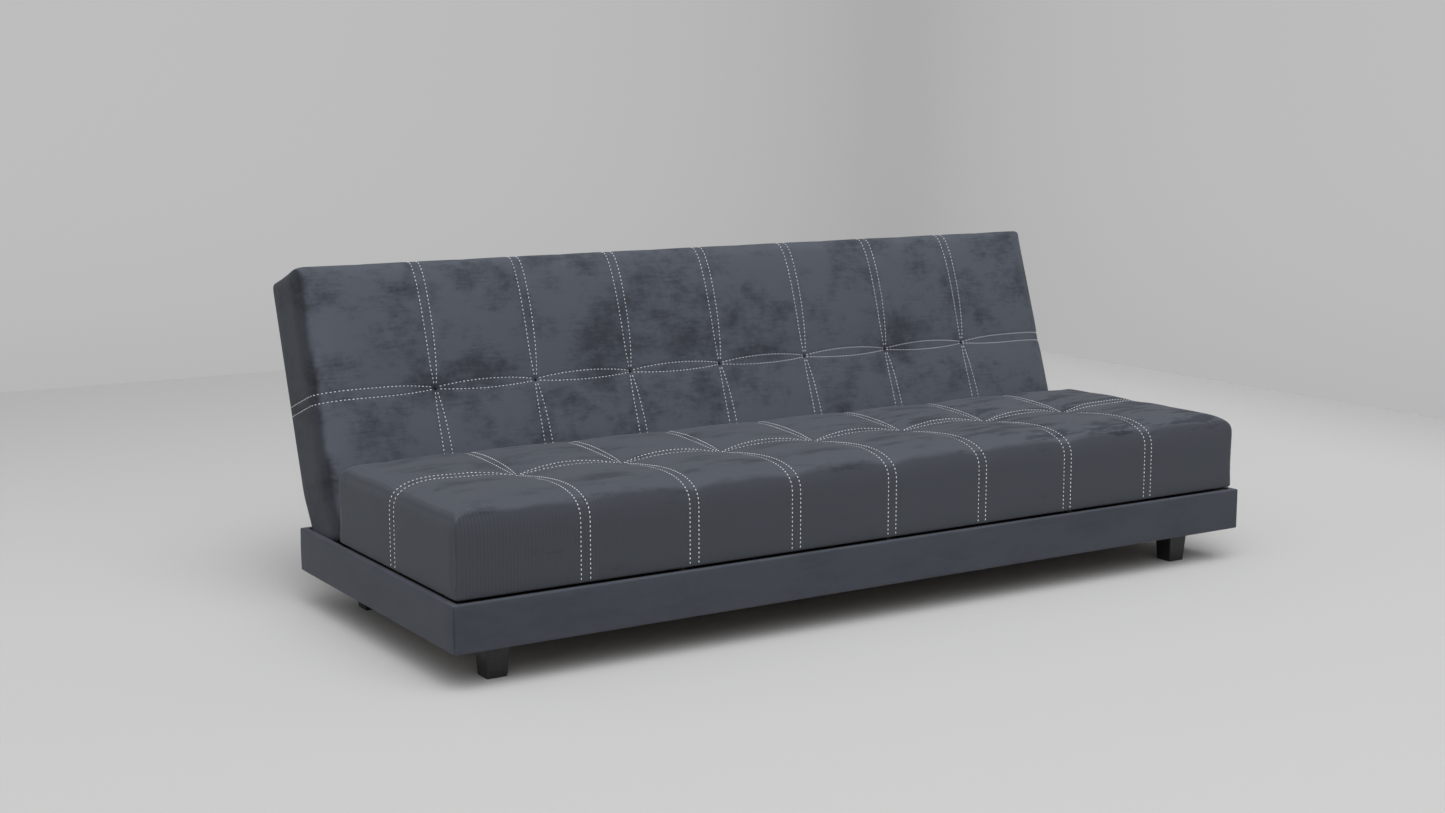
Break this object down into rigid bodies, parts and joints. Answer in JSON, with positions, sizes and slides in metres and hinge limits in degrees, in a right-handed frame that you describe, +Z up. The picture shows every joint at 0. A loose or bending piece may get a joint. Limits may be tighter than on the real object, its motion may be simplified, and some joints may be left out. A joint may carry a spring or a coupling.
{
  "type": "sofa bed",
  "caption": "Sofa bed with a tufted seat that lifts off a bedding box and a tufted back that folds down level with it on ratchet hinges.",
  "frame": {"origin": "on the floor at the middle of the plan outline", "axes": "+X along the sofa to its right-hand end seen from the front, +Y from front to rear, +Z up"},
  "size_m": [2, 0.9188, 0.7238],
  "materials": {
    "upholstery": "matte",
    "lining": "matte",
    "foot_lacquer": "satin",
    "pine": "matte",
    "beech": "satin",
    "fibreboard": "matte",
    "zinc_steel": "satin",
    "black_steel": "satin",
    "rubber": "matte",
    "moulded_plastic": "matte"
  },
  "bodies": {
    "base": {"base_front_board": "pine", "base_rear_board": "pine", "base_left_board": "pine", "base_right_board": "pine", "base_floor_board": "fibreboard", "base_cover": "upholstery", "seat_ledgers": "pine", "left_runner": "pine", "right_runner": "pine", "foot_blocks": "pine", "front_left_foot": "foot_lacquer", "front_right_foot": "foot_lacquer", "rear_left_foot": "foot_lacquer", "rear_right_foot": "foot_lacquer", "foot_bolts": "zinc_steel", "seat_pads": "rubber", "back_pads": "rubber", "left_bracket": "zinc_steel", "right_bracket": "zinc_steel", "bracket_screws": "zinc_steel", "left_spindle": "zinc_steel", "right_spindle": "zinc_steel", "spindle_washers": "moulded_plastic", "pawl_pins": "zinc_steel"},
    "seat": {"seat_left_rail": "pine", "seat_right_rail": "pine", "seat_front_rail": "pine", "seat_rear_rail": "pine", "seat_cross_rails": "pine", "seat_slats": "beech", "seat_slat_caps": "moulded_plastic", "seat_left_arm": "black_steel", "seat_right_arm": "black_steel", "seat_arm_bolts": "zinc_steel", "seat_cushion": "upholstery", "seat_dust_cloth": "lining"},
    "back": {"back_left_rail": "pine", "back_right_rail": "pine", "back_top_rail": "pine", "back_bottom_rail": "pine", "back_cross_rails": "pine", "back_slats": "beech", "back_slat_caps": "moulded_plastic", "back_left_arm": "black_steel", "back_right_arm": "black_steel", "back_arm_bolts": "zinc_steel", "back_cushion": "upholstery", "back_dust_cloth": "lining"},
    "left_pawl": {"left_pawl": "black_steel"},
    "right_pawl": {"right_pawl": "black_steel"}
  },
  "joints": [
    {"name": "seat_lift", "type": "hinge", "parent": "base", "child": "seat", "pos_m": [0, 0.24108, 0.254], "axis": [-1, 0, 0], "range_deg": [0, 28]},
    {"name": "back_recline", "type": "hinge", "parent": "base", "child": "back", "pos_m": [0, 0.24108, 0.254], "axis": [-1, 0, 0], "range_deg": [0, 71.1]},
    {"name": "left_pawl_swing", "type": "hinge", "parent": "base", "child": "left_pawl", "pos_m": [0, 0.27858, 0.214], "axis": [1, 0, 0], "range_deg": [-4, 12], "stiffness_Nm_per_rad": 0.2},
    {"name": "right_pawl_swing", "type": "hinge", "parent": "base", "child": "right_pawl", "pos_m": [0, 0.27858, 0.214], "axis": [1, 0, 0], "range_deg": [-4, 12], "stiffness_Nm_per_rad": 0.2}
  ]
}
